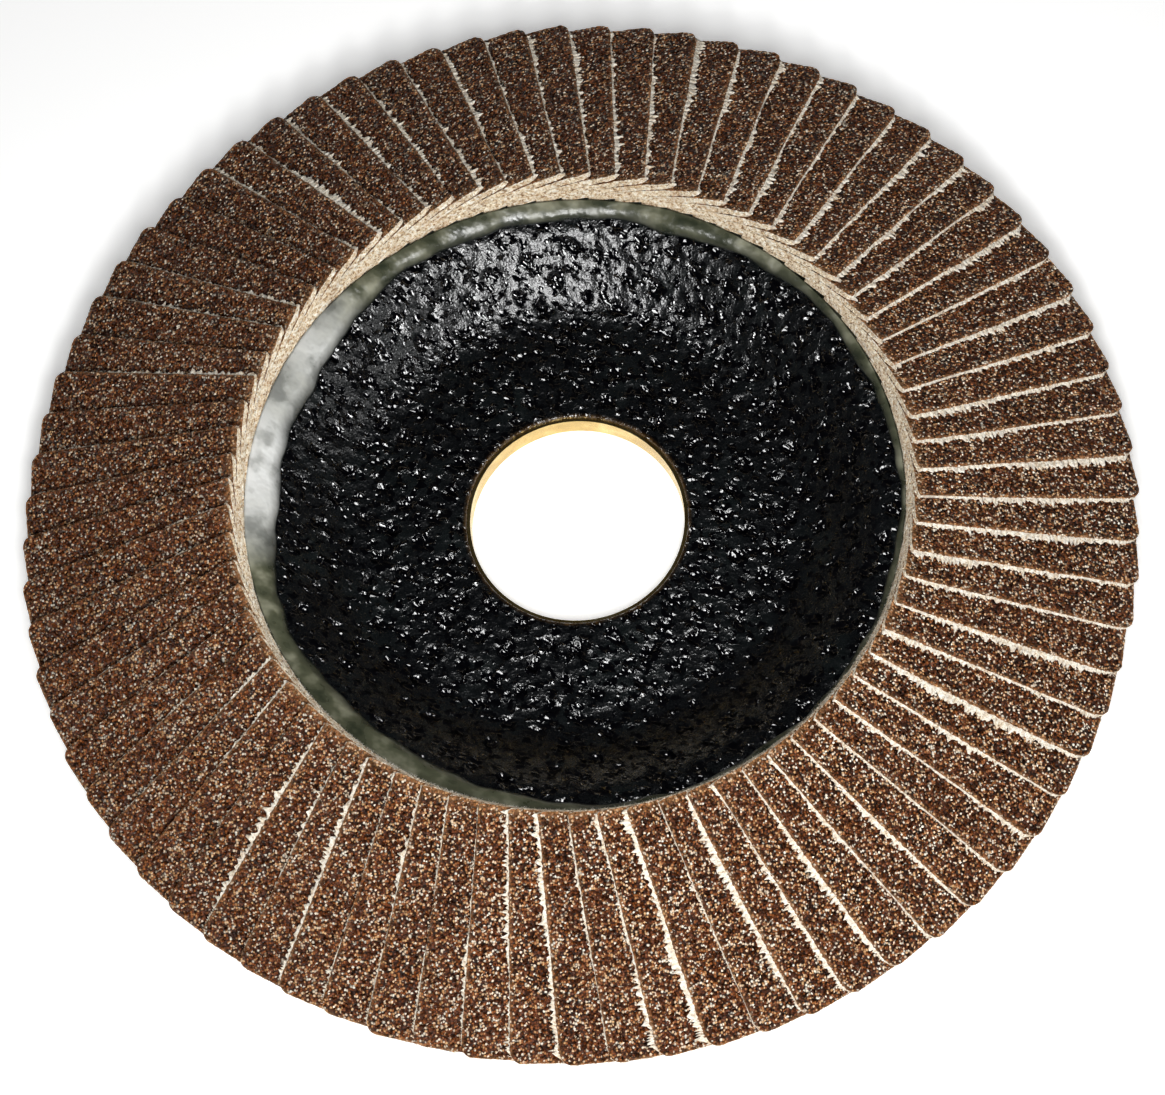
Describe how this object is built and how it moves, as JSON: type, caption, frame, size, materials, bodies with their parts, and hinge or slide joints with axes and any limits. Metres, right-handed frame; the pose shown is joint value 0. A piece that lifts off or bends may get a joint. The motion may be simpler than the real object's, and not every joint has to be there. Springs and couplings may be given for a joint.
{
  "type": "flap disc",
  "caption": "Abrasive flap disc: overlapping cloth flaps glued in a ring on a dished glass-fibre backing plate with a lined central bore.",
  "frame": {"origin": "centre of the bore on the machine-side face of the hub", "axes": "+Z along the bore axis, towards the working side with the flaps; +X to the picture's right"},
  "size_m": [0.115, 0.1149, 0.0133],
  "materials": {
    "resin_plate": "glossy black resin over woven glass fibre",
    "ring_metal": "bright pressed sheet",
    "adhesive": "glossy cast resin, olive and a little cloudy",
    "abrasive_cloth": "brown abrasive grit on cream cloth, with frayed edges"
  },
  "bodies": {
    "root": {"backing_plate": "resin_plate", "centre_ring": "ring_metal", "adhesive_ring": "adhesive", "flaps_01": "abrasive_cloth", "flaps_02": "abrasive_cloth", "flaps_03": "abrasive_cloth", "flaps_04": "abrasive_cloth", "flaps_05": "abrasive_cloth", "flaps_06": "abrasive_cloth", "flaps_07": "abrasive_cloth", "flaps_08": "abrasive_cloth", "flaps_09": "abrasive_cloth", "flaps_10": "abrasive_cloth", "flaps_11": "abrasive_cloth", "flaps_12": "abrasive_cloth", "flaps_13": "abrasive_cloth", "flaps_14": "abrasive_cloth", "flaps_15": "abrasive_cloth", "flaps_16": "abrasive_cloth", "flaps_17": "abrasive_cloth", "flaps_18": "abrasive_cloth", "flaps_19": "abrasive_cloth", "flaps_20": "abrasive_cloth", "flaps_21": "abrasive_cloth", "flaps_22": "abrasive_cloth", "flaps_23": "abrasive_cloth", "flaps_24": "abrasive_cloth", "flaps_25": "abrasive_cloth"}
  },
  "joints": []
}
